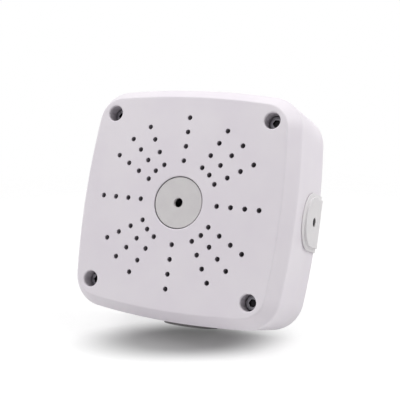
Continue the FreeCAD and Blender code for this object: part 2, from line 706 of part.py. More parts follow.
def build_side_plug(doc, size, label, turn):
    """A rubber plug for one side notch: an arched flange outside and a hollow block through the wall."""
    body = new_body(doc, label)
    seat = size.side_face + size.flange_seat
    block_start = size.side_face - size.wall_thick - size.plug_inner_reach
    block_half = size.notch_radius - size.notch_fit
    block_end = size.ledge_height + size.plate_gap

    sketch = new_sketch(body, "block_arch", "YZ_Plane", block_start)
    draw_arch(sketch, size.side_plug_height, block_half, block_end)
    pad(doc, body, "block", sketch, seat - block_start)

    sketch = new_sketch(body, "flange_arch", "YZ_Plane", seat)
    flange_half = size.notch_radius + size.flange_lap
    draw_arch(sketch, size.side_plug_height, flange_half, size.flange_wall_gap)
    pad(doc, body, "flange_rim", sketch, size.flange_rim_height)
    rim = edges_on_side(body.Shape, (seat + size.flange_rim_height).number)
    chamfer(doc, body, "rim_slope", rim, size.flange_slope_height, size.flange_slope_width)

    outer = seat + size.flange_proud
    sketch = new_sketch(body, "middle_arch", "YZ_Plane", seat)
    middle_half = flange_half - size.flange_rim_width
    draw_arch(sketch, size.side_plug_height, middle_half, size.flange_wall_gap + size.flange_rim_width)
    pad(doc, body, "flange_middle", sketch, size.flange_proud)
    upper = edges_on_side(body.Shape, outer.number)
    fillet(doc, body, "middle_round", upper, size.flange_round)

    sketch = new_sketch(body, "hollow_arch", "YZ_Plane", block_start)
    hollow_half = block_half - size.plug_wall
    draw_arch(sketch, size.side_plug_height, hollow_half, block_end + size.plug_wall)
    hollow_depth = outer - block_start - size.plug_skin
    pocket(doc, body, "hollow", sketch, hollow_depth, along_normal=True)

    sketch = new_sketch(body, "pilot_circle", "YZ_Plane", outer)
    draw_circles(sketch, "pilot", [(-size.side_plug_height, None)], size.cable_hole_dia)
    pocket(doc, body, "cable_hole", sketch, size.plug_skin + size.overcut)

    axis = FreeCAD.Vector(0, 1, 0)
    body.Placement = FreeCAD.Placement(FreeCAD.Vector(0, 0, 0), FreeCAD.Rotation(axis, turn))
    return body


def place_at_corner(body, size, corner):
    """Moves a body modelled on the Y axis to one of the cover screws."""
    _, x_sign, z_sign = corner
    bind(body, "Placement.Base.x", size.post_offset * x_sign)
    bind(body, "Placement.Base.z", size.post_offset * z_sign)


def build_cover_screw(doc, size, corner):
    """A socket head cap screw that holds the shell to the back plate."""
    body = new_body(doc, f"cover_screw_{corner[0]}")
    sketch = new_sketch(body, "head_circle", "XZ_Plane", size.head_under)
    draw_circles(sketch, "head", [(None, None)], size.screw_head_dia)
    pad(doc, body, "head", sketch, size.screw_head_height)

    sketch = new_sketch(body, "shank_circle", "XZ_Plane", size.screw_tip)
    draw_circles(sketch, "shank", [(None, None)], size.screw_dia)
    pad(doc, body, "shank", sketch, size.screw_length)

    head_top = size.head_under + size.screw_head_height
    sketch = new_sketch(body, "socket_hexagon", "XZ_Plane", head_top)
    draw_hexagon(sketch, size.socket_flats)
    pocket(doc, body, "socket", sketch, size.socket_depth)

    tip = edges_at(body.Shape, size.screw_tip.number)
    chamfer(doc, body, "tip_chamfer", tip, size.screw_tip_chamfer)
    place_at_corner(body, size, corner)
    return body


def build_screw_washer(doc, size, corner):
    """A sealing washer under a cover screw's head."""
    body = new_body(doc, f"screw_washer_{corner[0]}")
    sketch = new_sketch(body, "washer_circles", "XZ_Plane", size.seat_height)
    draw_circles(sketch, "outside", [(None, None)], size.washer_outer_dia)
    draw_circles(sketch, "inside", [(None, None)], size.screw_clear_dia)
    pad(doc, body, "washer", sketch, size.washer_thick)
    place_at_corner(body, size, corner)
    return body


def build_screw_insert(doc, size, corner):
    """A threaded insert in a back plate column, that a cover screw turns into."""
    body = new_body(doc, f"screw_insert_{corner[0]}")
    sketch = new_sketch(body, "insert_circles", "XZ_Plane", size.back_post_top - size.insert_length)
    draw_circles(sketch, "outside", [(None, None)], size.insert_dia)
    draw_circles(sketch, "inside", [(None, None)], size.screw_dia + size.insert_fit * 2)
    pad(doc, body, "insert", sketch, size.insert_length)
    place_at_corner(body, size, corner)
    return body


def build_all(doc, size):
    """Builds every piece and returns the bodies."""
    bodies = [
        build_front_shell(doc, size),
        build_back_plate(doc, size),
        build_cover_gasket(doc, size),
        build_rear_grommet(doc, size),
        build_centre_plug(doc, size),
    ]
    for label, turn in SIDE_PLUGS:
        bodies.append(build_side_plug(doc, size, label, turn))
    for corner in CORNERS:
        bodies.append(build_cover_screw(doc, size, corner))
        bodies.append(build_screw_washer(doc, size, corner))
        bodies.append(build_screw_insert(doc, size, corner))
    doc.recompute()
    return bodies


def check(doc, bodies):
    """Stops if any object failed or any body isn't one valid solid."""
    failed = []
    for thing in doc.Objects:
        if "Invalid" in thing.State or "Error" in thing.State:
            failed.append(thing.Label)
    for body in bodies:
        shape = body.Shape
        if shape.isNull() or not shape.isValid() or len(shape.Solids) != 1:
            failed.append(f"{body.Label} shape")
    if failed:
        raise RuntimeError("failed: " + ", ".join(failed))


def main():
    """Builds the document, checks it and writes one file per piece."""
    doc = FreeCAD.newDocument("camera_junction_box")
    size = Sizes(fill_sheet(doc))
    bodies = build_all(doc, size)
    check(doc, bodies)
    os.makedirs(PARTS_FOLDER, exist_ok=True)
    for body in bodies:
        body.Shape.exportStep(os.path.join(PARTS_FOLDER, f"{body.Label}.step"))
        box = body.Shape.BoundBox
        print(f"{body.Label}: volume {body.Shape.Volume:.1f}, "
              f"x {box.XMin:.2f} {box.XMax:.2f}, y {box.YMin:.2f} {box.YMax:.2f}, "
              f"z {box.ZMin:.2f} {box.ZMax:.2f}")


main()
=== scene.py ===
"""Looks of a camera junction box: finishes, threaded fasteners, floor, light and camera.

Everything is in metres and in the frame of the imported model: +X right, +Z up, the front looks along -Y,
and the wall is the plane y = 0.
"""
import logging
import math
from dataclasses import dataclass, field
from enum import Enum
from typing import Callable, Optional, Sequence

import bpy
import numpy as np
from mathutils import Matrix, Vector


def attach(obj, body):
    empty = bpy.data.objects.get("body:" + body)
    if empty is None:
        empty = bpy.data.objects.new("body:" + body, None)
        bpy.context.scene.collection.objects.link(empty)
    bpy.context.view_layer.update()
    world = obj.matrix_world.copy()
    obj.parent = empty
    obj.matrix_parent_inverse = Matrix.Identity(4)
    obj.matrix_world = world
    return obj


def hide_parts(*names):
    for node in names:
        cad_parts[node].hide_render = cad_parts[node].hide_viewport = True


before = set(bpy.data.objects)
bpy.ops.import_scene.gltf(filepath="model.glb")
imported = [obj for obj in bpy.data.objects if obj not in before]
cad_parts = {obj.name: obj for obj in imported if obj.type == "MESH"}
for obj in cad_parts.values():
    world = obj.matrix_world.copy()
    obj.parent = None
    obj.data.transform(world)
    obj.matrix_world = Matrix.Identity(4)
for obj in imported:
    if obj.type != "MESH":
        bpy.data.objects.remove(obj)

LOG = logging.getLogger("junction_box")
MM = 0.001
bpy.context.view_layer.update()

SCREW_OFFSET = 50.6 * MM
PHASE_JITTER = 2.5
SHARP_ANGLE = math.radians(38.0)

Colour = tuple[float, float, float]
Point = tuple[float, float, float]
Node = bpy.types.Node
Socket = bpy.types.NodeSocket


class Corner(Enum):
    """The four cover screws, by the signs of their X and Z places."""

    TOP_RIGHT = (1, 1)
    TOP_LEFT = (-1, 1)
    BOTTOM_LEFT = (-1, -1)
    BOTTOM_RIGHT = (1, -1)

    @property
    def label(self) -> str:
        """Name as the node names write it."""
        return self.name.lower()

    @property
    def centre(self) -> tuple[float, float]:
        """Place of the screw's axis in X and Z."""
        return SCREW_OFFSET * self.value[0], SCREW_OFFSET * self.value[1]


class Bench:
    """A node tree with short calls for adding nodes and linking them."""

    def __init__(self, tree: bpy.types.NodeTree) -> None:
        """Starts on an empty tree.

        Args:
            tree: the material's, world's or group's node tree.
        """
        self.tree = tree
        tree.nodes.clear()

    def add(self, kind: str, **values: object) -> Node:
        """Adds a node.

        Args:
            kind: the node's type name, without its ShaderNode prefix.
            values: attributes of the node.

        Returns:
            The new node.
        """
        full = kind if kind.startswith("Node") else f"ShaderNode{kind}"
        node = self.tree.nodes.new(full)
        for name, value in values.items():
            setattr(node, name, value)
        return node

    def feed(self, target: Socket, value: object) -> None:
        """Links a socket into an input, or writes a plain value there.

        Args:
            target: the input.
            value: a socket, number, or sequence of numbers.
        """
        if isinstance(value, Socket):
            self.tree.links.new(value, target)
        else:
            target.default_value = value

    def fill(self, node: Node, **values: object) -> Node:
        """Feeds inputs of a node.

        Args:
            node: the node.
            values: sockets, numbers or colours by the input's name, with _ for each space.

        Returns:
            The same node.
        """
        for name, value in values.items():
            self.feed(node.inputs[name.replace("_", " ")], value)
        return node

    def row(self, node: Node, *values: object) -> Socket:
        """Feeds a node's inputs in order.

        Args:
            node: the node.
            values: sockets, numbers or colours, from the first input on.

        Returns:
            The node's first output.
        """
        for place, value in enumerate(values):
            self.feed(node.inputs[place], value)
        return node.outputs[0]

    def math(self, operation: str, first: object, second: object = 0.0, third: object = 0.0) -> Socket:
        """Adds a Math node.

        Args:
            operation: the node's operation.
            first: socket or number.
            second: socket or number.
            third: socket or number.

        Returns:
            Its output.
        """
        return self.row(self.add("Math", operation=operation), first, second, third)

    def vector(self, operation: str, first: object, second: Sequence[float]) -> Node:
        """Adds a Vector Math node.

        Args:
            operation: the node's operation.
            first: socket.
            second: three numbers.

        Returns:
            The node, with the outputs Vector and Value.
        """
        node = self.add("VectorMath", operation=operation)
        self.row(node, first, tuple(second))
        return node

    def split(self, vector: Socket) -> Sequence[Socket]:
        """X, Y and Z of a vector."""
        return self.fill(self.add("SeparateXYZ"), Vector=vector).outputs

    def off(self, value: object, middle: float) -> Socket:
        """Distance of a value from a middle one."""
        return self.math("ABSOLUTE", self.math("SUBTRACT", value, middle))

    def length(self, first: object, second: object) -> Socket:
        """Length of the vector (first, second)."""
        squares = self.math("MULTIPLY_ADD", first, first, self.math("MULTIPLY", second, second))
        return self.math("SQRT", squares)

    def seen(self) -> Socket:
        """Tells the rays that show a background from the rays that light the box.

        Returns:
            1 for a ray of the camera, off a shiny face or through glass, and 0 for any other.
        """
        path = self.add("LightPath")
        shown = self.math("MAXIMUM", path.outputs["Is Camera Ray"], path.outputs["Is Glossy Ray"])
        return self.math("MAXIMUM", shown, path.outputs["Is Transmission Ray"])

    def mix(self, factor: object, first: object, second: object) -> Socket:
        """Mixes two colours.

        Args:
            factor: socket or number, 0 gives the first colour.
            first: socket or colour.
            second: socket or colour.

        Returns:
            The mixed colour.
        """
        node = self.add("Mix", data_type="RGBA")
        for place, value in ((0, factor), (6, first), (7, second)):
            self.feed(node.inputs[place], value)
        return node.outputs[2]

    def noise(self, vector: object, scale: object, detail: float, rough: float = 0.5) -> Socket:
        """Adds a Noise Texture.

        Args:
            vector: coordinates to read.
            scale: about one over the size of its spots in metres, socket or number.
            detail: octaves of finer noise.
            rough: how strong the finer noise is.

        Returns:
            Its value.
        """
        node = self.add("TexNoise", noise_dimensions="3D")
        return self.fill(node, Vector=vector, Scale=scale, Detail=detail, Roughness=rough).outputs[0]

    def ramp(self, value: object, low: float, high: float) -> Socket:
        """Spreads low..high over 0..1, clamped and smooth.

        Args:
            value: socket to spread.
            low: value that gives 0.
            high: value that gives 1.

        Returns:
            The spread value.
        """
        return self.row(self.add("MapRange", interpolation_type="SMOOTHSTEP"), value, low, high)

    def group(self, tree: bpy.types.NodeTree, **values: object) -> Node:
        """Places a shader node group with its inputs filled."""
        return self.fill(self.add("Group", node_tree=tree), **values)


class GroupBench(Bench):
    """The nodes of a shader node group.

    Attributes:
        given: the group's inputs by name.
        end: the node that takes its outputs.
    """

    def __init__(self, tree: bpy.types.NodeTree) -> None:
        """Starts with the nodes for the group's inputs and outputs.

        Args:
            tree: the group, with its sockets made.
        """
        super().__init__(tree)
        self.given = self.add("NodeGroupInput").outputs
        self.end = self.add("NodeGroupOutput")


class Skin(Bench):
    """The nodes of a material with a Principled shader.

    Attributes:
        shader: the Principled BSDF.
        place: Object coordinates.
    """

    def __init__(self, tree: bpy.types.NodeTree) -> None:
        """Starts with the shader, joined to the output, and the coordinates.

        Args:
            tree: the material's node tree.
        """
        super().__init__(tree)
        self.shader = self.add("BsdfPrincipled")
        self.place = self.add("TexCoord").outputs["Object"]
        self.fill(self.add("OutputMaterial"), Surface=self.shader.outputs[0])


@dataclass(frozen=True)
class Effect:
    """A shader node group that several finishes share, built once.

    Attributes:
        name: the group's name.
        inputs: socket types by name.
        outputs: socket types by name.
        body: draws the nodes from the group's inputs to its outputs.
    """

    name: str
    inputs: dict[str, str]
    outputs: dict[str, str]
    body: Callable[[GroupBench], None]

    def tree(self) -> bpy.types.NodeTree:
        """Gives the group's tree, made on first use.

        Returns:
            The node tree.
        """
        found = bpy.data.node_groups.get(self.name)
        if found is not None:
            return found
        made = bpy.data.node_groups.new(self.name, "ShaderNodeTree")
        for way, sockets in (("INPUT", self.inputs), ("OUTPUT", self.outputs)):
            for name, kind in sockets.items():
                made.interface.new_socket(name, in_out=way, socket_type=kind)
        self.body(GroupBench(made))
        return made


def draw_mould_grain(bench: GroupBench) -> None:
    """Fine spark-eroded grain of a moulding tool, over a slow waviness of the surface.

    Args:
        bench: the group's nodes.
    """
    vector = bench.given["Vector"]
    fine = bench.noise(vector, bench.given["Fineness"], detail=3.0, rough=0.6)
    slow = bench.noise(vector, scale=55.0, detail=1.0)
    grain = bench.math("MULTIPLY", fine, bench.given["Depth"])
    wave = bench.math("MULTIPLY", slow, bench.given["Waviness"])
    bench.fill(bench.end, Height=bench.math("ADD", grain, wave), Speckle=bench.ramp(fine, 0.3, 0.7))


def draw_mottle(bench: GroupBench) -> None:
    """Slow drift between two close colours, as pigment and handling leave it.

    Args:
        bench: the group's nodes.
    """
    cloud = bench.noise(bench.given["Vector"], bench.given["Scale"], detail=2.0, rough=0.55)
    factor = bench.ramp(cloud, 0.32, 0.68)
    mixed = bench.mix(factor, bench.given["First"], bench.given["Second"])
    bench.fill(bench.end, Color=mixed, Factor=factor)


def draw_lathe_rings(bench: GroupBench) -> None:
    """Fine rings round an axis, as a lathe tool leaves them.

    In words: the height is a sine of the distance along the axis, with noise in its phase, brought to
    0 to 1.

    Args:
        bench: the group's nodes.
    """
    jitter = bench.noise(bench.given["Vector"], scale=900.0, detail=1.0)
    steady = bench.math("MULTIPLY", bench.given["Along"], bench.given["Rings"])
    wave = bench.math("SINE", bench.math("MULTIPLY_ADD", jitter, PHASE_JITTER, steady))
    bench.fill(bench.end, Height=bench.math("MULTIPLY_ADD", wave, 0.5, 0.5))


VALUE = "NodeSocketFloat"
VECTOR = "NodeSocketVector"
COLOUR = "NodeSocketColor"

MOULD_GRAIN = Effect(
    "mould_grain",
    {"Vector": VECTOR, "Fineness": VALUE, "Depth": VALUE, "Waviness": VALUE},
    {"Height": VALUE, "Speckle": VALUE},
    draw_mould_grain,
)
MOTTLE = Effect(
    "mottle",
    {"Vector": VECTOR, "Scale": VALUE, "First": COLOUR, "Second": COLOUR},
    {"Color": COLOUR, "Factor": VALUE},
    draw_mottle,
)
LATHE_RINGS = Effect(
    "lathe_rings",
    {"Vector": VECTOR, "Along": VALUE, "Rings": VALUE},
    {"Height": VALUE},
    draw_lathe_rings,
)


def rgba(colour: Colour) -> tuple[float, float, float, float]:
    """A colour with full alpha."""
    return (*colour, 1.0)


@dataclass(frozen=True)
class Finish:
    """What every finish of the box has.

    Attributes:
        name: the material's name.
        colour: main colour.
        second: the colour that the main one drifts to.
        roughness: middle roughness.
        roughness_swing: how far the speckle moves the roughness.
    """

    name: str
    colour: Colour
    second: Colour
    roughness: float
    roughness_swing: float = 0.04

    def material(self) -> bpy.types.Material:
        """Gives the material, made on first use.

        Returns:
            The material.
        """
        found = bpy.data.materials.get(self.name)
        if found is None:
            found = bpy.data.materials.new(self.name)
            found.use_nodes = True
            self.dress(Skin(found.node_tree))
        return found

    def dress(self, skin: Skin) -> None:
        """Draws the finish.

        Args:
            skin: the material's nodes.
        """
        raise NotImplementedError

    def mottle(self, skin: Skin, scale: float) -> Node:
        """Places the drift between the finish's two colours.

        Args:
            skin: the material's nodes.
            scale: about one over the size of a cloud of colour in metres.

        Returns:
            The group node, with the outputs Color and Factor.
        """
        return skin.group(MOTTLE.tree(), Vector=skin.place, Scale=scale, First=rgba(self.colour),
                          Second=rgba(self.second))

    def coat(self, skin: Skin, colour: Socket, speckle: Socket, height: Socket, relief: float,
             **values: float) -> None:
        """Feeds the shader, with a roughness that the speckle moves about its middle value.

        Args:
            skin: the material's nodes.
            colour: of the surface.
            speckle: 0 to 1.
            height: of the surface, about 0 to 1.
            relief: metres of relief for a height of 1.
            values: the shader's other inputs by name, with _ for each space.
        """
        low = self.roughness - self.roughness_swing
        rough = skin.math("MULTIPLY_ADD", speckle, 2.0 * self.roughness_swing, low)
        bump = skin.fill(skin.add("Bump"), Strength=1.0, Distance=relief, Height=height)
        skin.fill(skin.shader, Base_Color=colour, Roughness=rough, Normal=bump.outputs[0], **values)


@dataclass(frozen=True)
class HoleShade:
    """Painted shade on the sides of a hole, standing in for the shade deep in it.

    Attributes:
        reach: how far it goes from the hole's axis, with some room.
        bottom: the hole's depth.
        full: depth at which the painted shade is full.
        start: depth at which it starts.
    """

    reach: float
    bottom: float
    full: float
    start: float = 0.3 * MM

    def draw(self, skin: Skin, away: Socket, depth: Socket) -> Socket:
        """Draws the painted shade: within its reach, above the bottom, fading in from the face.

        Args:
            skin: the material's nodes.
            away: distance from the hole's axis.
            depth: depth below the face.

        Returns:
            0 outside and up to 1 inside.
        """
        inside = skin.math("MULTIPLY", skin.math("LESS_THAN", away, self.reach),
                           skin.math("LESS_THAN", depth, self.bottom))
        return skin.math("MULTIPLY", inside, skin.ramp(depth, self.start, self.full))


@dataclass(frozen=True)
class RecessShade:
    """Where painted shade darkens the shell's deep places, for the shade that falls in them: counterbores,
    the gap round the centre plug, and the camera screw holes on their rings and spokes.

    Attributes:
        face: height of the face.
        first_ring: radius of the innermost ring of camera holes.
        ring_step: from ring to ring.
        rings: how many rings.
        fold: angle from a spoke along an axis to the next diagonal.
        between: angle from the axis to the spoke between the two.
        hole: painted shade in a camera hole.
        bore: painted shade in a counterbore.
        bore_share: how strong that painted shade is.
        gap: painted shade in the gap round the centre plug.
        gap_radius: middle of that gap.
    """

    face: float = 52.5 * MM
    first_ring: float = 24.5 * MM
    ring_step: float = 8.5 * MM
    rings: int = 4
    fold: float = math.radians(45.0)
    between: float = math.radians(30.0)
    hole: HoleShade = HoleShade(reach=1.59 * MM, bottom=9.6 * MM, full=1.0 * MM)
    bore: HoleShade = HoleShade(reach=4.794 * MM, bottom=14.1 * MM, full=2.6 * MM)
    bore_share: float = 0.60
    gap: HoleShade = HoleShade(reach=0.50 * MM, bottom=4.1 * MM, full=1.2 * MM)
    gap_radius: float = 15.15 * MM

    def mask(self, skin: Skin) -> Socket:
        """Marks where painted shade darkens the sides of the holes.

        In words: the angle round the middle is folded into an eighth of a turn, where the spokes stand
        at 0, 30 and 45 degrees. A point lies in a camera hole if it is within the hole's radius of a
        ring and a spoke, in a counterbore if it is within its radius of the screw's axis, and in the gap
        if its radius is about the gap's. Each mark fades in with depth below the face.

        Args:
            skin: the material's nodes.

        Returns:
            0 outside and 1 inside.
        """
        across, along, up = skin.split(skin.place)
        radius = skin.length(across, up)
        folded = skin.math("PINGPONG", skin.math("ARCTAN2", up, across), self.fold)
        off_sides = skin.math("MINIMUM", folded, skin.math("SUBTRACT", self.fold, folded))
        off_spoke = skin.math("MINIMUM", off_sides, skin.off(folded, self.between))
        step = skin.math("DIVIDE", skin.math("SUBTRACT", radius, self.first_ring), self.ring_step)
        nearest = skin.math("MAXIMUM", skin.math("ROUND", step), 0.0)
        nearest = skin.math("MINIMUM", nearest, self.rings - 1.0)
        off_ring = skin.math("MULTIPLY", skin.math("SUBTRACT", step, nearest), self.ring_step)
        from_hole = skin.length(off_ring, skin.math("MULTIPLY", off_spoke, radius))
        off_screw = [skin.math("SUBTRACT", skin.math("ABSOLUTE", side), SCREW_OFFSET)
                     for side in (across, up)]
        depth = skin.math("ADD", along, self.face)
        hole = self.hole.draw(skin, from_hole, depth)
        bore = self.bore.draw(skin, skin.length(*off_screw), depth)
        gap = self.gap.draw(skin, skin.off(radius, self.gap_radius), depth)
        marks = skin.math("MAXIMUM", hole, skin.math("MULTIPLY", bore, self.bore_share))
        return skin.math("MAXIMUM", marks, gap)


@dataclass(frozen=True)
class CableHoleShade:
    """Where painted shade darkens the insides of the side plugs' cable holes, for the shade in them.

    Attributes:
        height: of the holes' axes from the wall.
        face: outer faces of the plugs from the box's middle.
        hole: painted shade in a hole, which may reach the box's middle.
    """

    height: float = 14.9 * MM
    face: float = 70.8 * MM
    hole: HoleShade = HoleShade(reach=2.95 * MM, bottom=70.8 * MM, full=1.0 * MM, start=0.1 * MM)

    def mask(self, skin: Skin) -> Socket:
        """Marks where painted shade darkens the sides of the holes.

        In words: a point lies in a hole if it is within the hole's radius of an axis along X or along Z
        at the plugs' height. The mark fades in with depth below the plug's face.

        Args:
            skin: the material's nodes.

        Returns:
            0 outside and 1 inside.
        """
        across, along, up = skin.split(skin.place)
        off_axis = skin.math("ADD", along, self.height)
        nearer = skin.math("MINIMUM", skin.length(off_axis, across), skin.length(off_axis, up))
        out = skin.math("MAXIMUM", skin.math("ABSOLUTE", across), skin.math("ABSOLUTE", up))
        return self.hole.draw(skin, nearer, skin.math("SUBTRACT", self.face, out))


@dataclass(frozen=True)
class MouldedPlastic(Finish):
    """Satin moulded plastic with a fine tool grain.

    Attributes:
        fineness: scale of the grain's noise, about one over its size in metres.
        grain_relief: relief of the grain in metres.
        recess_shade: where painted shade darkens the deep places, if the piece has any.
        recess_shade_tone: the painted shade's colour there.
    """

    fineness: float = 1900.0
    grain_relief: float = 0.00003
    recess_shade: Optional[RecessShade] = None
    recess_shade_tone: Colour = (0.36, 0.34, 0.37)

    def dress(self, skin: Skin) -> None:
        """Mottled colour, with the grain in bump and roughness.

        Args:
            skin: the material's nodes.
        """
        colour = self.mottle(skin, scale=34.0).outputs["Color"]
        # painted shade: the holes, counterbores and the gap round the centre plug get a darker colour for
        # the shade in them
        if self.recess_shade is not None:
            colour = skin.mix(self.recess_shade.mask(skin), colour, rgba(self.recess_shade_tone))
        grain = skin.group(MOULD_GRAIN.tree(), Vector=skin.place, Fineness=self.fineness, Depth=0.6,
                           Waviness=0.4)
        self.coat(skin, colour, grain.outputs["Speckle"], grain.outputs["Height"], self.grain_relief,
                  IOR=1.5, Specular_IOR_Level=0.42)


@dataclass(frozen=True)
class SoftRubber(Finish):
    """Matt moulded rubber with a faint bloom and fine pores.

    Attributes:
        pore_relief: relief of the pores in metres.
        sheen: strength of the soft sheen.
        holes: where painted shade darkens the cable holes' insides, if the piece has any of them.
        hole_shade_tone: the painted shade's colour there.
    """

    pore_relief: float = 0.00004
    sheen: float = 0.12
    holes: Optional[CableHoleShade] = None
    hole_shade_tone: Colour = (0.10, 0.095, 0.10)

    def dress(self, skin: Skin) -> None:
        """Mottled colour with pores in bump and roughness.

        Args:
            skin: the material's nodes.
        """
        colour = self.mottle(skin, scale=120.0).outputs["Color"]
        # painted shade: the cable holes' insides get a near-black colour for the shade in them
        if self.holes is not None:
            colour = skin.mix(self.holes.mask(skin), colour, rgba(self.hole_shade_tone))
        grain = skin.group(MOULD_GRAIN.tree(), Vector=skin.place, Fineness=2600.0, Depth=0.8, Waviness=0.3)
        self.coat(skin, colour, grain.outputs["Speckle"], grain.outputs["Height"], self.pore_relief,
                  Sheen_Weight=self.sheen, Specular_IOR_Level=0.3)


@dataclass(frozen=True)
class TurnedMetal(Finish):
    """Metal turned about an axis along Y, with fine tool rings.

    Attributes:
        rings: tool rings, in radians of wave for a metre.
        relief: relief of the rings in metres.
    """

    rings: float = 42000.0
    relief: float = 0.000008

    def dress(self, skin: Skin) -> None:
        """Metallic colour with ring marks and smudged roughness.

        Args:
            skin: the material's nodes.
        """
        mottle = self.mottle(skin, scale=420.0)
        _, along, _ = skin.split(skin.place)
        marks = skin.group(LATHE_RINGS.tree(), Vector=skin.place, Along=along, Rings=self.rings)
        self.coat(skin, mottle.outputs["Color"], mottle.outputs["Factor"], marks.outputs["Height"],
                  self.relief, Metallic=1.0)


@dataclass(frozen=True)
class FoamSeal(Finish):
    """Dark closed-cell seal with visible cells.

    Attributes:
        cell_scale: scale of the cells, about one over their size in metres.
        cell_relief: relief of the cells in metres.
    """

    cell_scale: float = 2200.0
    cell_relief: float = 0.00006

    def dress(self, skin: Skin) -> None:
        """Cells from a Voronoi pattern, in colour, roughness and bump.

        Args:
            skin: the material's nodes.
        """
        cells = skin.fill(skin.add("TexVoronoi", feature="F1"), Vector=skin.place, Scale=self.cell_scale)
        rim = skin.ramp(cells.outputs["Distance"], 0.15, 0.7)
        colour = skin.mix(rim, rgba(self.colour), rgba(self.second))
        self.coat(skin, colour, rim, rim, self.cell_relief, Specular_IOR_Level=0.25)


SHELL_PLASTIC = MouldedPlastic("white_shell_plastic", (0.805, 0.755, 0.812), (0.830, 0.785, 0.832),
                               0.42, 0.03, recess_shade=RecessShade())
PLATE_PLASTIC = MouldedPlastic("white_plate_plastic", (0.79, 0.77, 0.80), (0.81, 0.80, 0.82), 0.5, 0.04,
                               fineness=1300.0, grain_relief=0.00005)
PLUG_RUBBER = SoftRubber("grey_plug_rubber", (0.672, 0.645, 0.655), (0.700, 0.678, 0.682), 0.62, 0.05)
SIDE_RUBBER = SoftRubber("pale_plug_rubber", (0.765, 0.742, 0.755), (0.790, 0.770, 0.778), 0.60, 0.05,
                         holes=CableHoleShade())
# painted shade: a darker copy of the pale plug rubber for the bottom plug, for the shade under the box
SHADED_LOW_RUBBER = SoftRubber("plug_rubber_painted_shade", (0.235, 0.225, 0.230), (0.265, 0.255, 0.258), 0.66, 0.05,
                        holes=CableHoleShade())
WASHER_RUBBER = SoftRubber("grey_washer_rubber", (0.24, 0.235, 0.25), (0.29, 0.285, 0.30), 0.6, 0.05)
SCREW_STEEL = TurnedMetal("zinc_screw_steel", (0.34, 0.33, 0.36), (0.42, 0.41, 0.44), 0.50, 0.06)
# painted shade: the hex sockets' steel is near black, for the shade deep in them
SHADED_SOCKET_STEEL = TurnedMetal("socket_steel_painted_shade", (0.030, 0.029, 0.032), (0.050, 0.048, 0.052), 0.55, 0.06)
INSERT_BRASS = TurnedMetal("insert_brass", (0.78, 0.57, 0.25), (0.70, 0.50, 0.20), 0.32, 0.07)
GASKET_FOAM = FoamSeal("black_gasket_foam", (0.022, 0.022, 0.024), (0.050, 0.050, 0.052), 0.8, 0.06)


def dress_node(node: str, finish: Finish) -> None:
    """Gives a carried-over node its finish.

    Args:
        node: the node's name.
        finish: the finish for all of its material slots.
    """
    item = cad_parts[node]
    material = finish.material()
    if not item.material_slots:
        item.data.materials.append(material)
    for place in item.material_slots:
        place.material = material
    LOG.info("dressed %s with %s", node, finish.name)


def add_object(name: str, data: bpy.types.ID) -> bpy.types.Object:
    """Makes an object in the scene's own collection.

    Args:
        name: the object's name.
        data: its mesh, light or camera.

    Returns:
        The new object, at the origin.
    """
    item = bpy.data.objects.new(name, data)
    bpy.context.scene.collection.objects.link(item)
    return item


def rings_to_mesh(name: str, rings: np.ndarray, closed: bool) -> bpy.types.Object:
    """Makes one closed surface from rings of points round an axis.

    In words: the quad (i, j) joins ring i to ring i + 1 between columns j and j + 1, where j wraps
    round. A closed stack wraps in i too. Any other stack ends at both sides in a fan round the middle
    of its last ring.

    Args:
        name: the object's name.
        rings: points, of shape (rings, columns, 3), that run so that the faces look outwards.
        closed: whether the last ring joins the first.

    Returns:
        The new object, at the origin.
    """
    count, around = rings.shape[:2]
    points = rings.reshape(-1, 3)
    row, column = np.meshgrid(np.arange(count if closed else count - 1), np.arange(around), indexing="ij")
    following = (row + 1) % count
    beside = (column + 1) % around
    quads = np.stack((row * around + column, row * around + beside, following * around + beside,
                      following * around + column), axis=-1).reshape(-1, 4)
    faces = quads.tolist()
    if not closed:
        first, last = len(points), len(points) + 1
        points = np.vstack((points, rings[0].mean(axis=0), rings[-1].mean(axis=0)))
        turn = np.arange(around)
        after = (turn + 1) % around
        faces += np.stack((np.full(around, first), after, turn), axis=-1).tolist()
        base = (count - 1) * around
        faces += np.stack((np.full(around, last), base + turn, base + after), axis=-1).tolist()
    mesh = bpy.data.meshes.new(name)
    mesh.from_pydata(points.tolist(), [], faces)
    mesh.polygons.foreach_set("use_smooth", np.ones(len(faces), dtype=bool))
    mesh.set_sharp_from_angle(angle=SHARP_ANGLE)
    mesh.update()
    return add_object(name, mesh)


@dataclass
class Casing:
    """Front shell, back plate and the seal between them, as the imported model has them.

    Attributes:
        shell: the shell's node.
        plate: the back plate's node.
        seal: the gasket's node.
    """

    shell: str = "front_shell"
    plate: str = "back_plate"
    seal: str = "cover_gasket"

    def build(self) -> None:
        """Dresses the three nodes."""
        dress_node(self.shell, SHELL_PLASTIC)
        dress_node(self.plate, PLATE_PLASTIC)
        dress_node(self.seal, GASKET_FOAM)


@dataclass
class CablePlugs:
    """The soft plugs and the rear grommet.

    Attributes:
        inner: nodes of the grey rubber.
        side: nodes of the pale rubber.
        low: nodes of the rubber underneath, a darker copy of the pale rubber with painted shade.
    """

    inner: tuple[str, ...] = ("centre_plug", "rear_grommet")
    side: tuple[str, ...] = ("right_plug", "left_plug")
    low: tuple[str, ...] = ("bottom_plug",)

    def build(self) -> None:
        """Dresses the plugs."""
        for plugs, rubber in ((self.inner, PLUG_RUBBER), (self.side, SIDE_RUBBER), (self.low, SHADED_LOW_RUBBER)):
            for plug in plugs:
                dress_node(plug, rubber)


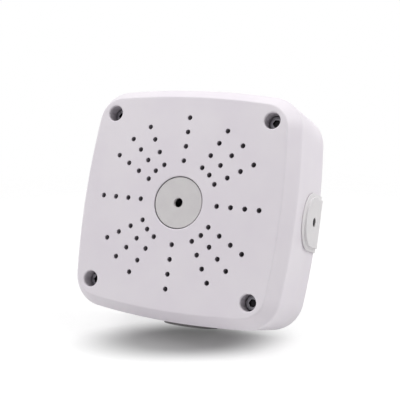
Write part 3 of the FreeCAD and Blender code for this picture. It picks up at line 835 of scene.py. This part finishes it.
@dataclass
class TurnedPiece:
    """A threaded piece of rings of points round the axis of a cover screw.

    Attributes:
        corner: which screw's axis.
        columns: points round the axis, a multiple of six and of a knurl's teeth.
        pitch: of the thread.
    """

    corner: Corner
    columns: int = 96
    pitch: float = 0.8 * MM

    @property
    def turn(self) -> np.ndarray:
        """Angles round the axis, of shape (1, columns)."""
        return np.linspace(0.0, 2 * math.pi, self.columns, endpoint=False)[None, :]

    def wave(self, height: np.ndarray) -> np.ndarray:
        """Triangle wave of a right-hand thread.

        In words: the wave is 1 where (height / pitch - turn / full circle) is whole, and 0 half way.

        Args:
            height: heights, of shape (rings, 1).

        Returns:
            0 to 1, of shape (rings, columns).
        """
        phase = np.mod(height / self.pitch - self.turn / (2 * math.pi), 1.0)
        return np.abs(phase * 2.0 - 1.0)

    def points(self, radii: np.ndarray, heights: np.ndarray) -> np.ndarray:
        """Sets rings out round the axis.

        Args:
            radii: of shape (rings, columns).
            heights: from the wall, of shape (rings, 1).

        Returns:
            Points, of shape (rings, columns, 3).
        """
        x, z = self.corner.centre
        points = np.empty((radii.shape[0], self.columns, 3))
        points[..., 0] = x + radii * np.cos(self.turn)
        points[..., 1] = -heights
        points[..., 2] = z + radii * np.sin(self.turn)
        return points


@dataclass
class CapScrew(TurnedPiece):
    """A threaded socket head cap screw in a counterbore, with its washer.

    Attributes:
        teeth: of the knurl round the head.
        tip: height of the screw's end.
        under_head: height of the head's underside.
        head_top: height of the head's top.
        major_radius: of the thread's crest.
        thread_depth: from crest to root.
        steps: rings of points for one pitch.
        flank_gain: how steep the thread's flanks are.
        crest_width: how much of the flanks is cut flat at the crest.
        tip_chamfer: of the screw's end.
        runout: from where the thread fades to the head's underside.
        runout_fade: length in which it fades.
        head_radius: of the head.
        knurl_depth: of the head's knurl.
        edge: rounding under the head.
        socket_flats: across the hexagon's flats.
        socket_depth: of the hexagon.
        socket_chamfer: of the hexagon's mouth, in radius.
    """

    teeth: int = 32
    tip: float = 19.5 * MM
    under_head: float = 39.5 * MM
    head_top: float = 44.5 * MM
    major_radius: float = 2.5 * MM
    thread_depth: float = 0.48 * MM
    steps: int = 6
    flank_gain: float = 1.35
    crest_width: float = 0.15
    tip_chamfer: float = 0.6 * MM
    runout: float = 1.2 * MM
    runout_fade: float = 0.6 * MM
    head_radius: float = 4.25 * MM
    knurl_depth: float = 0.09 * MM
    edge: float = 0.35 * MM
    socket_flats: float = 4.0 * MM
    socket_depth: float = 2.5 * MM
    socket_chamfer: float = 0.28 * MM

    def thread(self, height: np.ndarray) -> np.ndarray:
        """Radius of the thread: the wave's grooves, cut flat at crest and root."""
        flank = np.clip(self.wave(height) * self.flank_gain - self.crest_width, 0.0, 1.0)
        return self.major_radius - self.thread_depth * flank

    def hexagon(self) -> np.ndarray:
        """Radius of the hexagon socket: half the flats over the cosine of the angle from a flat."""
        sector = np.mod(self.turn, math.pi / 3) - math.pi / 6
        return (self.socket_flats / 2) / np.cos(sector)

    def rings(self) -> np.ndarray:
        """Rings of the whole screw from its tip, over the head, down into the socket.

        In words: each ring stands at one height and has one radius for each angle round the axis. The
        shank's radii are the thread's, cut by the tip's chamfer and brought to the plain radius under
        the head. The head's rings follow, each a height and its radii, and its knurl is a cosine of the
        angle times the teeth.

        Returns:
            Points, of shape (rings, columns, 3).
        """
        plain = np.ones_like(self.turn)
        count = int(round((self.under_head - self.tip) / self.pitch * self.steps))
        height = np.linspace(self.tip, self.under_head, count)[:, None]
        chamfer = self.major_radius - self.tip_chamfer + (height - self.tip)
        radius = np.minimum(self.thread(height), chamfer)
        faded = np.clip((height - (self.under_head - self.runout)) / self.runout_fade, 0.0, 1.0)
        radius = radius * (1 - faded) + self.major_radius * faded
        tooth = 0.5 + 0.5 * np.cos(self.turn * self.teeth)
        knurled = self.head_radius - self.knurl_depth * tooth
        socket = self.hexagon()
        chamfered = np.maximum(socket, plain * (self.socket_flats / 2 + self.socket_chamfer))
        body = (
            (self.under_head, plain * (self.head_radius - self.edge)),
            (self.under_head + 0.15 * MM, plain * (self.head_radius - 0.12 * MM)),
            (self.under_head + 0.40 * MM, knurled),
            (self.head_top - 0.75 * MM, knurled),
            (self.head_top - 0.45 * MM, plain * (self.head_radius - 0.10 * MM)),
            (self.head_top - 0.12 * MM, plain * (self.head_radius - 0.28 * MM)),
            (self.head_top, plain * (self.head_radius - 0.60 * MM)),
            (self.head_top, chamfered),
            (self.head_top - 0.25 * MM, socket),
            (self.head_top - self.socket_depth, socket),
            (self.head_top - self.socket_depth - 0.35 * MM, plain * 0.4 * MM),
        )
        radii = np.vstack([radius] + [item[1] for item in body])
        heights = np.vstack([height] + [np.array([[item[0]]]) for item in body])
        return self.points(radii, heights)

    def socket_faces(self, faces: int) -> np.ndarray:
        """Material index of each face: 1, the near-black steel of painted shade, for the last two bands,
        which are the socket, and its end fan.

        Args:
            faces: how many faces the screw has, the two end fans last.

        Returns:
            One index for each face.
        """
        index = np.zeros(faces, dtype=np.int32)
        bands_end = faces - 2 * self.columns
        index[bands_end - 2 * self.columns:bands_end] = 1
        index[faces - self.columns:] = 1
        return index

    def build(self) -> None:
        """Makes the screw in place of its plain solid and dresses the washer."""
        label = self.corner.label
        item = rings_to_mesh(f"threaded_screw_{label}", self.rings(), closed=False)
        item.data.materials.append(SCREW_STEEL.material())
        item.data.materials.append(SHADED_SOCKET_STEEL.material())
        item.data.polygons.foreach_set("material_index", self.socket_faces(len(item.data.polygons)))
        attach(item, f"screw_{label}")
        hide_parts(f"cover_screw_{label}")
        dress_node(f"screw_washer_{label}", WASHER_RUBBER)
        LOG.info("built %s", item.name)


@dataclass
class BrassInsert(TurnedPiece):
    """A knurled threaded insert in a column of the back plate.

    Attributes:
        steps: rings of points up the outside, and as many down the bore.
        low: height of its lower end.
        high: height of its upper end.
        outer_radius: of the knurl's crest.
        bore_radius: of the thread's crest.
        knurl_depth: of the knurl.
        knurl_lead: height in which the knurl slants by one radian of its wave.
        teeth: of the knurl.
        groove_depth: of the plain groove and of the leading end.
        groove_half: half the groove's height, as a share of the insert's.
        pilot: height of the leading end, as a share of the insert's.
        collar: from where the upper end is plain, as a share of the insert's height.
        thread_depth: from crest to root.
        ridge_gain: how full the thread's grooves are.
    """

    steps: int = 61
    low: float = 24.8 * MM
    high: float = 34.8 * MM
    outer_radius: float = 3.5 * MM
    bore_radius: float = 2.55 * MM
    knurl_depth: float = 0.22 * MM
    knurl_lead: float = 0.9 * MM
    teeth: int = 24
    groove_depth: float = 0.45 * MM
    groove_half: float = 0.07
    pilot: float = 0.05
    collar: float = 0.94
    thread_depth: float = 0.35 * MM
    ridge_gain: float = 1.3

    def outside(self, height: np.ndarray) -> np.ndarray:
        """Radius of the outside: two bands of crossed knurling with a plain groove between them.

        In words: the knurl is the smaller of two cosine waves that slant either way round the axis.

        Args:
            height: heights, of shape (rings, 1).

        Returns:
            Radii, of shape (rings, columns).
        """
        share = (height - self.low) / (self.high - self.low)
        slant = height / self.knurl_lead
        one = 0.5 + 0.5 * np.cos(self.turn * self.teeth + slant)
        other = 0.5 + 0.5 * np.cos(self.turn * self.teeth - slant)
        knurled = self.outer_radius - self.knurl_depth * (1 - np.minimum(one, other))
        groove = self.outer_radius - self.groove_depth
        in_groove = (np.abs(share - 0.5) < self.groove_half) | (share < self.pilot)
        return np.where(in_groove, groove, np.where(share > self.collar, self.outer_radius, knurled))

    def inside(self, height: np.ndarray) -> np.ndarray:
        """Radius of the bore: the wave's grooves, cut flat, go outwards from the bore's radius."""
        ridge = np.clip(self.ridge_gain - self.wave(height) * 2.0, 0.0, 1.0)
        return self.bore_radius + self.thread_depth * ridge

    def rings(self) -> np.ndarray:
        """Rings up the outside and down the bore, as one closed loop.

        Returns:
            Points, of shape (rings, columns, 3).
        """
        up = np.linspace(self.low, self.high, self.steps)[:, None]
        down = up[::-1]
        return self.points(np.vstack((self.outside(up), self.inside(down))), np.vstack((up, down)))

    def build(self) -> None:
        """Makes the insert in place of its plain solid."""
        label = self.corner.label
        item = rings_to_mesh(f"knurled_insert_{label}", self.rings(), closed=True)
        item.data.materials.append(INSERT_BRASS.material())
        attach(item, "base")
        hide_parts(f"screw_insert_{label}")
        LOG.info("built %s", item.name)


@dataclass
class PhotoCamera:
    """A camera at the photograph's place, in the frame's metres.

    Attributes:
        place: where it stands.
        forward: which way it looks.
        up: its upright direction.
        focal_pixels: focal length in pixels of the image.
        image_width: in pixels.
        sensor: its width in millimetres.
        clip: nearest and furthest distance that it sees.
    """

    place: Point = (0.19704, -0.44422, -0.03841)
    forward: Point = (-0.421795, 0.901755, 0.094480)
    up: Point = (-0.087852, -0.144359, 0.985618)
    focal_pixels: float = 764.7
    image_width: float = 400.0
    sensor: float = 36.0
    clip: tuple[float, float] = (0.01, 20.0)

    def build(self) -> None:
        """Makes the camera and sets it as the scene's."""
        data = bpy.data.cameras.new("photo_camera")
        data.sensor_fit = "HORIZONTAL"
        data.sensor_width = self.sensor
        data.lens = self.sensor * self.focal_pixels / self.image_width
        data.clip_start, data.clip_end = self.clip
        back = -Vector(self.forward).normalized()
        right = Vector(self.up).cross(back).normalized()
        upright = back.cross(right)
        turned = Matrix((right, upright, back)).transposed().to_4x4()
        item = add_object("photo_camera", data)
        item.matrix_world = Matrix.Translation(Vector(self.place)) @ turned
        bpy.context.scene.camera = item


@dataclass
class Floor:
    """A white floor under the box as the photograph's camera sees it, clear from below and far away.

    The photograph's shadow is an even oval under the box, so the floor has a lift, seen only by the
    camera, that grows from a faint one inside an oval to plain white outside it.

    Attributes:
        camera: the camera that sees it.
        tilt: degrees from the camera's upright to the floor's normal, towards the camera.
        radius: of the floor's disc.
        sides: of the disc.
        gap: between the box's lowest point and the floor.
        fade_from: share of the radius at which the floor starts to fade out.
        fade_to: the same share where it is gone.
        tone: the floor's own colour, which lights the box from below.
        seen_tone: its colour to the camera.
        faint_lift: strength of the lift inside the oval.
        lift: its strength outside the oval.
        oval_middle: the oval's middle, to the right of the disc's middle and towards the camera.
        oval_long: half the oval's length.
        oval_short: half its width.
        oval_turn: degrees that its long axis runs away from the camera towards the right.
        lift_from: share of the way to the oval's edge at which the lift starts to grow.
        lift_to: the same share where it has grown.
    """

    camera: PhotoCamera = field(default_factory=PhotoCamera)
    tilt: float = 10.0
    radius: float = 0.75
    sides: int = 64
    gap: float = 0.0002
    fade_from: float = 0.45
    fade_to: float = 0.95
    tone: float = 0.80
    seen_tone: float = 0.35
    faint_lift: float = 0.126
    lift: float = 0.72
    oval_middle: tuple[float, float] = (2.4 * MM, 48.9 * MM)
    oval_long: float = 64.9 * MM
    oval_short: float = 35.1 * MM
    oval_turn: float = 30.8
    lift_from: float = 0.38
    lift_to: float = 1.16

    @property
    def normal(self) -> Vector:
        """The floor's upward direction."""
        angle = math.radians(self.tilt)
        up = Vector(self.camera.up).normalized()
        forward = Vector(self.camera.forward).normalized()
        return (up * math.cos(angle) - forward * math.sin(angle)).normalized()

    def axes(self) -> tuple[Vector, Vector]:
        """Directions in the floor: to the right, and towards the camera."""
        right = Vector((0.0, 1.0, 0.0)).cross(self.normal).normalized()
        return right, right.cross(self.normal).normalized()

    def oval(self, bench: Bench, centre: Vector) -> Socket:
        """Distance from the oval's middle as a share of the way to its edge.

        In words: the way from the middle is measured along the long axis and across it, each is divided
        by its half length, and the share is the length of the two.

        Args:
            bench: the material's nodes.
            centre: the disc's middle.

        Returns:
            0 in the middle, 1 on the oval.
        """
        right, nearer = self.axes()
        turn = math.radians(self.oval_turn)
        middle = centre + right * self.oval_middle[0] + nearer * self.oval_middle[1]
        along = (right * math.cos(turn) - nearer * math.sin(turn)) / self.oval_long
        across = (right * math.sin(turn) + nearer * math.cos(turn)) / self.oval_short
        way = bench.vector("SUBTRACT", bench.add("TexCoord").outputs["Object"], middle).outputs["Vector"]
        return bench.length(*(bench.vector("DOT_PRODUCT", way, axis).outputs["Value"]
                              for axis in (along, across)))

    def lowest(self) -> float:
        """Finds how far along the normal the object's lowest vertex lies.

        Returns:
            The distance from the origin in metres, below zero.
        """
        normal = np.array(self.normal)
        depths = []
        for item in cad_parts.values():
            points = np.empty(len(item.data.vertices) * 3, dtype=np.float32)
            item.data.vertices.foreach_get("co", points)
            depths.append(float((points.reshape(-1, 3) @ normal).min()))
        return min(depths)

    def build(self) -> None:
        """Makes a flat disc, face up, just under the box's lowest point.

        In words: its rim's points are the middle plus the radius times the cosine and the sine of even
        steps of a turn, along the floor's two directions.
        """
        normal = self.normal
        right, nearer = self.axes()
        turn = np.linspace(0.0, 2 * math.pi, self.sides, endpoint=False)
        centre = normal * (self.lowest() - self.gap)
        flat = np.outer(np.cos(turn), np.array(right)) + np.outer(np.sin(turn), np.array(nearer))
        points = np.array(centre) + flat * self.radius
        mesh = bpy.data.meshes.new("floor")
        mesh.from_pydata(points.tolist(), [], [list(range(self.sides))])
        mesh.update()
        if mesh.polygons[0].normal.dot(normal) < 0:
            mesh.flip_normals()
        mesh.materials.append(self.material(centre))
        item = add_object("floor", mesh)

    def material(self, centre: Vector) -> bpy.types.Material:
        """White diffuse floor, with the lift for camera rays, that fades out far away and from below.

        Args:
            centre: the disc's middle.

        Returns:
            The material.
        """
        made = bpy.data.materials.new("white_floor")
        made.use_nodes = True
        bench = Bench(made.node_tree)
        seen = bench.seen()
        # painted shadow: to the camera the floor is darker than the floor that lights the box, so its cast
        # shadow shows deeper
        tone = bench.mix(seen, rgba((self.tone,) * 3), rgba((self.seen_tone,) * 3))
        diffuse = bench.fill(bench.add("BsdfDiffuse"), Color=tone)
        # painted shadow: a camera-only glow, faint inside the oval and white outside it, sets where the
        # shadow shows and lightens its core
        share = bench.ramp(self.oval(bench, centre), self.lift_from, self.lift_to)
        grown = bench.math("MULTIPLY_ADD", share, self.lift - self.faint_lift, self.faint_lift)
        glow = bench.fill(bench.add("Emission"), Strength=bench.math("MULTIPLY", seen, grown))
        lit = bench.row(bench.add("AddShader"), diffuse.outputs[0], glow.outputs[0])
        place = bench.add("TexCoord").outputs["Object"]
        away = bench.vector("DISTANCE", place, centre).outputs["Value"]
        far = bench.ramp(away, self.radius * self.fade_from, self.radius * self.fade_to)
        below = bench.add("NewGeometry").outputs["Backfacing"]
        clear = bench.add("BsdfTransparent").outputs[0]
        faded = bench.row(bench.add("MixShader"), bench.math("MAXIMUM", far, below), lit, clear)
        bench.fill(bench.add("OutputMaterial"), Surface=faded)
        return made


@dataclass
class SoftBox:
    """A white square area light that looks at the box.

    Attributes:
        name: the light's name.
        place: where it hangs.
        width: its side in metres.
        watts: its power.
        aim: the point that it looks at.
    """

    name: str
    place: Point
    width: float
    watts: float
    aim: Point = (0.0, -0.03, 0.0)

    def build(self) -> None:
        """Makes the light and turns it to its aim."""
        data = bpy.data.lights.new(self.name, "AREA")
        data.shape = "SQUARE"
        data.size = self.width
        data.energy = self.watts
        item = add_object(self.name, data)
        item.location = self.place
        item.rotation_euler = (Vector(self.aim) - Vector(self.place)).to_track_quat("-Z", "Y").to_euler()


@dataclass
class Studio:
    """World and lamps.

    Attributes:
        ambient: strength of the world for light that falls on the box.
        lamps: the soft boxes.
    """

    ambient: float = 0.45
    lamps: Sequence[SoftBox] = (
        SoftBox("overhead", (-0.10, -0.25, 0.95), 0.9, 1.7),
        SoftBox("upper_left", (-0.60, -0.70, 0.60), 0.5, 3.4),
        SoftBox("upper_right", (0.70, 0.15, 0.60), 0.5, 2.0),
        SoftBox("near_right", (0.22, -0.16, 0.45), 0.3, 0.65),
    )

    def build(self) -> None:
        """Makes the world, white to the camera and dimmer to the box, and the lamps."""
        world = bpy.data.worlds.new("studio")
        world.use_nodes = True
        bench = Bench(world.node_tree)
        strength = bench.math("MULTIPLY_ADD", bench.seen(), 1.0 - self.ambient, self.ambient)
        sky = bench.fill(bench.add("Background"), Color=(1.0, 1.0, 1.0, 1.0), Strength=strength)
        bench.fill(bench.add("OutputWorld"), Surface=sky.outputs[0])
        bpy.context.scene.world = world
        for lamp in self.lamps:
            lamp.build()


@dataclass
class JunctionBox:
    """The whole object.

    Attributes:
        casing: shell, plate and seal.
        plugs: the rubber pieces.
    """

    casing: Casing = field(default_factory=Casing)
    plugs: CablePlugs = field(default_factory=CablePlugs)

    def build(self) -> None:
        """Builds the sub-assemblies in order."""
        self.casing.build()
        self.plugs.build()
        for corner in Corner:
            CapScrew(corner).build()
            BrassInsert(corner).build()


def main() -> None:
    """Builds the object, then its stage."""
    logging.basicConfig(level=logging.INFO, format="%(name)s: %(message)s")
    bpy.context.scene.view_settings.view_transform = "Standard"
    JunctionBox().build()
    PhotoCamera().build()
    Floor().build()
    Studio().build()


if __name__ == "__main__":
    main()
